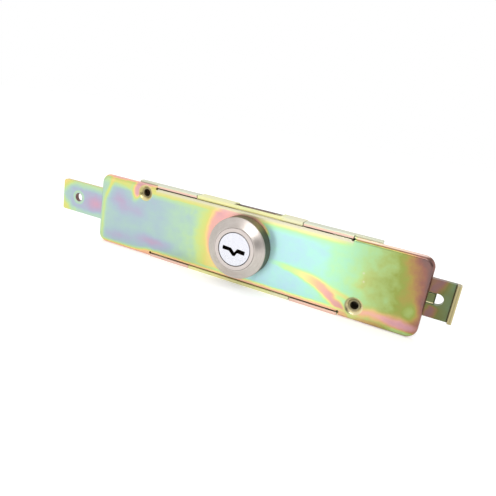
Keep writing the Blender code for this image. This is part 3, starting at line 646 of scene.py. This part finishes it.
bracket = channel(saddle["half"], case["top"], case["bottom"], saddle["depth"], saddle["sheet"],
                  saddle["bend"])
notchLow, notchHigh = saddle["notch"]
shallow = block((notchLow, saddle["notchFront"], 17.4), (notchHigh, saddle["front"], 26))
through = block((notchLow, saddle["front"] - 0.5, saddle["notchFloor"]), (notchHigh, 13, 26))
bracket = carve(bracket, *removing(shallow, through, pin(0, 0, case["tailHole"], 7, 12, 96)),
                *rivetHoles(7, 12))
finishPiece("saddleBracket", bracket, "frame", saddleLook, ["centre_saddle"], edge=0.16)
print("case and saddle made")

# Collar and cylinder
collar = {"radius": 16.4, "mouth": 11.3, "back": -0.25, "flangeRoom": 15.5, "flangeFront": -3.3}
housing = {"bore": 9.1, "barrel": 11.22, "front": -10.15, "flange": 15.2, "flangeFront": -3.0, "back": -0.3}

ring = turn([(collar["radius"], collar["back"]), (collar["radius"], -7.0), (16.36, -7.25), (16.22, -7.45),
             (15.95, -7.62), (15.6, -7.78), (14.9, -8.12), (14.2, -8.5), (13.4, -8.98), (12.6, -9.47),
             (12.0, -9.82), (11.7, -9.96), (11.5, -10.0), (11.36, -9.96), (collar["mouth"], -9.85),
             (collar["mouth"], collar["flangeFront"]), (collar["flangeRoom"], collar["flangeFront"]),
             (collar["flangeRoom"], collar["back"])], steps=128)
finishPiece("collarRing", ring, "frame", nickelLook, ["cylinder_collar"], sharp=28)


def broachWindow(up):
    low, high = ((-10.1, -6.1), (10.1, 3.9)) if up else ((-3.9, -10.1), (6.1, 10.1))
    return block((low[0], -9.2, low[1]), (high[0], 1, high[1]))


barrel = turn([(housing["bore"], housing["back"]), (housing["flange"], housing["back"]),
               (housing["flange"], housing["flangeFront"]), (housing["barrel"], housing["flangeFront"]),
               (housing["barrel"], -9.98), (11.16, -10.09), (11.0, housing["front"]),
               (9.25, housing["front"]), (9.14, -10.1), (housing["bore"], -10.0)], steps=96)
windows = [carve(broachWindow(up), ("INTERSECT", pin(0, 0, 10.1, -12, 2, 96))) for up in (True, False)]
screwHoles = [pin(s * plate["screwAt"], 0, plate["screwHole"], -2.5, 1, 24) for s in (-1, 1)]
barrel = carve(barrel, *removing(*windows, *screwHoles))
finishPiece("housingBarrel", barrel, "frame", housingLook, ["cylinder_housing"], sharp=28)

plugShape = {"radius": 8.8, "front": -10.1, "drive": (2.45, 5.75), "driveRadius": 8.4, "flat": 7.2,
             "tail": 7.9, "groove": (10.4, 11.4), "grooveRadius": 7.1, "end": 12.3, "slotEnd": 9}
keyway = [(-6.6, -1.25), (-2.7, -1.4), (-0.4, -3.5), (0.9, -3.5), (2.0, -1.5), (6.1, -1.8),
          (6.3, 0.4), (1.9, 0.75), (0.35, -1.5), (-1.7, 0.5), (-6.5, 0.85)]
wafer = {"first": -8.2, "pitch": 2.2, "slot": 1.4, "low": -5.7, "high": 3.5, "pocket": (-2.6, 4.8, 4.9)}

radius, face, tail, end = (plugShape[key] for key in ("radius", "front", "tail", "end"))
driveRadius, grooveRadius, flat = (plugShape[key] for key in ("driveRadius", "grooveRadius", "flat"))
driveFront, driveBack = plugShape["drive"]
grooveFront, grooveBack = plugShape["groove"]
core = turn([(0, face), (radius - 0.3, face), (radius - 0.12, face + 0.06), (radius - 0.03, face + 0.18),
             (radius, face + 0.35), (radius, driveFront), (driveRadius, driveFront), (driveRadius, driveBack),
             (tail, driveBack), (tail, grooveFront), (grooveRadius, grooveFront), (grooveRadius, grooveBack),
             (tail, grooveBack), (tail, end - 0.3), (tail - 0.3, end), (0, end)], steps=96, closed=False)
slots = []
for number in range(4):
    middle = wafer["first"] + number * wafer["pitch"]
    side = 1 if number % 2 == 0 else -1
    front, rear = middle - wafer["slot"] / 2, middle + wafer["slot"] / 2
    near, far, high = wafer["pocket"]
    shape = [(-12, wafer["low"]), (12, wafer["low"]), (12, wafer["high"])]
    pocket = [(near * side, wafer["high"]), (near * side, high),
              (far * side, high), (far * side, wafer["high"])]
    shape += (list(reversed(pocket)) if side == 1 else pocket) + [(-12, wafer["high"])]
    slots.append(("DIFFERENCE", blank(shape, front, rear)))
core = carve(core, *removing(blank(keyway, face - 2, plugShape["slotEnd"])))
flats = [block((-12, driveFront, -12), (12, driveBack, -flat)),
         block((-12, driveFront, flat), (12, driveBack, 12))]
core = carve(core, *slots, *removing(*flats))
finishPiece("keyPlug", core, "plug", plugLook, ["plug"], sharp=28)
print("collar and cylinder made")

# Bolts, flat bars with a toothed arm each
bolt = {"front": 2.8, "back": 5.6, "half": 9.5, "inner": 15.5, "riser": 36, "armTop": 17.2, "armEnd": 25,
        "pitchLine": 12, "addendum": 0.9, "dedendum": 1.25, "module": 1.0, "backlash": 0.3}


def toothGap(x, flip):
    slope = math.tan(math.radians(20))
    half = (math.pi * bolt["module"] / 2 + bolt["backlash"]) / 2
    deep, tip = bolt["dedendum"], bolt["addendum"]
    mouth, root = half + (tip + 1) * slope, half - deep * slope
    low, high = bolt["pitchLine"] - tip - 1, bolt["pitchLine"] + deep
    points = [(x - mouth, low), (x + mouth, low), (x + root, high), (x - root, high)]
    return blank([(flip * px, flip * pz) for px, pz in points], bolt["front"] - 1, bolt["back"] + 1)


def boltBar(end, flip):
    tips = bolt["pitchLine"] - bolt["addendum"]
    points = [(end, -bolt["half"]), (-bolt["inner"], -bolt["half"]), (-bolt["inner"], tips),
              (bolt["armEnd"], tips), (bolt["armEnd"], bolt["armTop"]), (-bolt["riser"], bolt["armTop"]),
              (-bolt["riser"], bolt["half"]), (end, bolt["half"])]
    bm = blank([(flip * x, flip * z) for x, z in points], bolt["front"], bolt["back"])
    teeth = [toothGap((k + 0.5) * math.pi * bolt["module"], flip) for k in range(-1, 7)]
    low, high = sorted((flip * (7 * math.pi + 0.62), flip * (bolt["armEnd"] + 1)))
    root = bolt["pitchLine"] + bolt["dedendum"]
    under, over = sorted((flip * (tips - 2), flip * root))
    rest = block((low, bolt["front"] - 1, under), (high, bolt["back"] + 1, over))
    return carve(bm, ("DIFFERENCE", merged(*teeth)), ("DIFFERENCE", rest))


def slotCutter(x0, x1, half=2.85):
    bm = blank([(x0, -half), (x1, -half), (x1, half), (x0, half)], bolt["front"] - 2, bolt["back"] + 2)
    return roundEdges(bm, alongDepth, half - 0.01, 10)


tongue = {"end": -127.3, "hole": (tongueHole, 2.5), "slot": (-73.5, -38.9)}
bar = boltBar(tongue["end"], 1)
roundEdges(bar, lambda a, b: alongDepth(a, b) and a.x < -127 and a.z > 9, 1.8, 6)
roundEdges(bar, lambda a, b: alongDepth(a, b) and a.x < -127 and a.z < -9, 0.9, 3)
bar = carve(bar, ("DIFFERENCE", slotCutter(*tongue["slot"])),
            ("DIFFERENCE", pin(tongue["hole"][0], 0, tongue["hole"][1], 1, 8, 48)))
finishPiece("leftBoltBar", bar, "left_bolt", leftLook, ["left_bolt"], edge=0.16)

slider = {"end": 109.2, "lip": 2.0, "lipFront": 0.8, "slot": (38.9, 103.4)}
bar = boltBar(-(slider["end"] - slider["lip"]), -1)
lipLeft = slider["end"] - slider["lip"]
hook = block((lipLeft - 0.5, slider["lipFront"], -bolt["half"]), (slider["end"], bolt["back"], bolt["half"]))
roundEdges(hook, lambda a, b: alongHeight(a, b) and a.x > lipLeft and a.y > 5, 1.4, 6)
hook = carve(hook, ("DIFFERENCE", block((lipLeft - 2, 0, -12), (lipLeft, bolt["front"] + 0.001, 12))))
bar = carve(bar, ("UNION", hook), ("DIFFERENCE", slotCutter(*slider["slot"])))
finishPiece("rightBoltBar", bar, "right_bolt", rightLook, ["right_bolt"], edge=0.18)

guides = {"half": 2.45, "front": 2.5, "back": 6.05, "left": (-69.5, -59.5), "right": (59.5, 99.8),
          "hole": 1.8}
for side in ("left", "right"):
    low, high = guides[side]
    bm = block((low, guides["front"], -guides["half"]), (high, guides["back"], guides["half"]))
    if side == "right":
        roundEdges(bm, lambda a, b: alongHeight(a, b) and a.x > 90 and a.y < 4, 1.5, 6)
    holes = [x for x in case["guideRivets"] if low < x < high]
    bm = carve(bm, *[("DIFFERENCE", pin(x, 0, guides["hole"], 3.7, 9)) for x in holes])
    finishPiece(side + "GuideBlock", bm, "frame", guideLook, [side + "_slot_guide"], edge=0.14)
print("bolts and guides made")

# Rivets behind the case
rivets = {"saddle_rivet_upper_left": (-24, 10), "saddle_rivet_upper_right": (24, 10),
          "saddle_rivet_lower_left": (-24, -10), "saddle_rivet_lower_right": (24, -10)}
for node, (x, z) in rivets.items():
    shape = turn([(0, 6.5), (1.6, 6.5), (1.6, 10.4), (2.9, 10.4), (3.0, 10.5), (3.0, 10.75), (2.85, 11.05),
                  (2.5, 11.35), (1.9, 11.6), (1.1, 11.75), (0, 11.8)], x, z, 40, closed=False)
    finishPiece(node.replace("saddle_rivet", "rivetHead"), shape, "frame", steelLook, [node])
smallRivets = {"guide_rivet_left": -64.5, "guide_rivet_right_inner": 62.5, "guide_rivet_right_outer": 68}
for node, x in smallRivets.items():
    shape = turn([(0, 4.0), (1.5, 4.0), (1.5, 8.2), (2.5, 8.2), (2.6, 8.3), (2.6, 8.5), (2.45, 8.8),
                  (2.0, 9.1), (1.2, 9.27), (0, 9.3)], x, 0, 40, closed=False)
    name = node.replace("guide_rivet", "guideRivetHead")
    finishPiece(name, shape, "frame", steelLook, [node])

# Carried-over nodes
finishes = {"drive_pinion": steelLook, "tail_clip": springLook, "housing_screw_left": steelLook,
            "housing_screw_right": steelLook}
finishes.update({"wafer_%d" % n: brassLook for n in range(1, 5)})
finishes.update({"wafer_spring_%d" % n: springLook for n in range(1, 5)})
for node, look in finishes.items():
    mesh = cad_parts[node].data
    mesh.materials.clear()
    mesh.materials.append(look)
print("small parts finished")

# Floor, light and camera
studio = {"floorSize": 3.0, "floorColor": 0.90, "floorLift": 0.29, "worldFill": 0.84,
          "darkSide": (0.63, -0.76, 0.16), "darkLevel": 0.08}


def seenDirectly(g):
    camera, glossy, passing = (g.add("ShaderNodeLightPath", {}, {}, "Is %s Ray" % kind)
                               for kind in ("Camera", "Glossy", "Transmission"))
    return (camera + glossy + passing).calc("MINIMUM", 1)


def floorLook():
    g = Finish("studio floor")
    matte = g.add("ShaderNodeBsdfDiffuse", {}, {"Color": (studio["floorColor"],) * 3 + (1,)})
    lift = seenDirectly(g) * studio["floorLift"]
    glow = g.add("ShaderNodeEmission", {}, {"Color": (1, 1, 1, 1), "Strength": lift})
    total = g.add("ShaderNodeAddShader", {}, {0: matte, 1: glow})
    g.tree.links.new(total.socket, g.tree.nodes["Material Output"].inputs["Surface"])
    return g.material


bm = bmesh.new()
bmesh.ops.create_grid(bm, x_segments=1, y_segments=1, size=studio["floorSize"] / 2)
floorMesh = bpy.data.meshes.new("studioFloor")
bm.to_mesh(floorMesh)
bm.free()
floorMesh.materials.append(floorLook())
floor = bpy.data.objects.new("studioFloor", floorMesh)
bpy.context.collection.objects.link(floor)

world = bpy.data.worlds.new("studio")
bpy.context.scene.world = world
world.use_nodes = True
sky = Graph(world.node_tree)
direction = sky.add("ShaderNodeTexCoord", {}, {}, "Generated")
facing = sky.add("ShaderNodeVectorMath", {"operation": "DOT_PRODUCT"},
                 {0: direction, 1: studio["darkSide"]}, "Value")
unseen = 1 - sky.add("ShaderNodeLightPath", {}, {}, "Is Camera Ray")
level = toward(studio["worldFill"], 1, seenDirectly(sky))
level = toward(level, studio["darkLevel"], sky.rise(facing, 0.85, 0.94) * unseen)
world.node_tree.links.new(level.socket, world.node_tree.nodes["Background"].inputs["Strength"])
world.node_tree.nodes["Background"].inputs["Color"].default_value = (1, 1, 1, 1)

lamps = {"keySoftbox": {"at": (0.105, -0.465, 0.365), "size": 0.24, "power": 1.0},
         "topSoftbox": {"at": (-0.15, 0.25, 0.75), "size": 0.6, "power": 0.8}}
for name, lamp in lamps.items():
    light = bpy.data.lights.new(name, "AREA")
    light.energy, light.size = lamp["power"], lamp["size"]
    holder = bpy.data.objects.new(name, light)
    holder.location = lamp["at"]
    holder.rotation_euler = (keyAxis - Vector(lamp["at"])).to_track_quat("-Z", "Y").to_euler()
    bpy.context.collection.objects.link(holder)

shot = {"at": (0.10382, -0.23075, 0.09642), "right": (0.898907, 0.408473, 0.158482),
        "up": (-0.259319, 0.204451, 0.943903), "forward": (-0.353157, 0.889579, -0.289707), "lens": 35.18}
lens = bpy.data.cameras.new("camera")
lens.sensor_width, lens.lens, lens.clip_start = 36.0, shot["lens"], 0.01
camera = bpy.data.objects.new("camera", lens)
turnTo = Matrix([shot["right"], shot["up"], [-v for v in shot["forward"]]]).transposed().to_4x4()
camera.matrix_world = Matrix.Translation(shot["at"]) @ turnTo
bpy.context.collection.objects.link(camera)
bpy.context.scene.camera = camera
bpy.context.scene.view_settings.view_transform = "Standard"
print("studio ready")

bpy.context.view_layer.update()
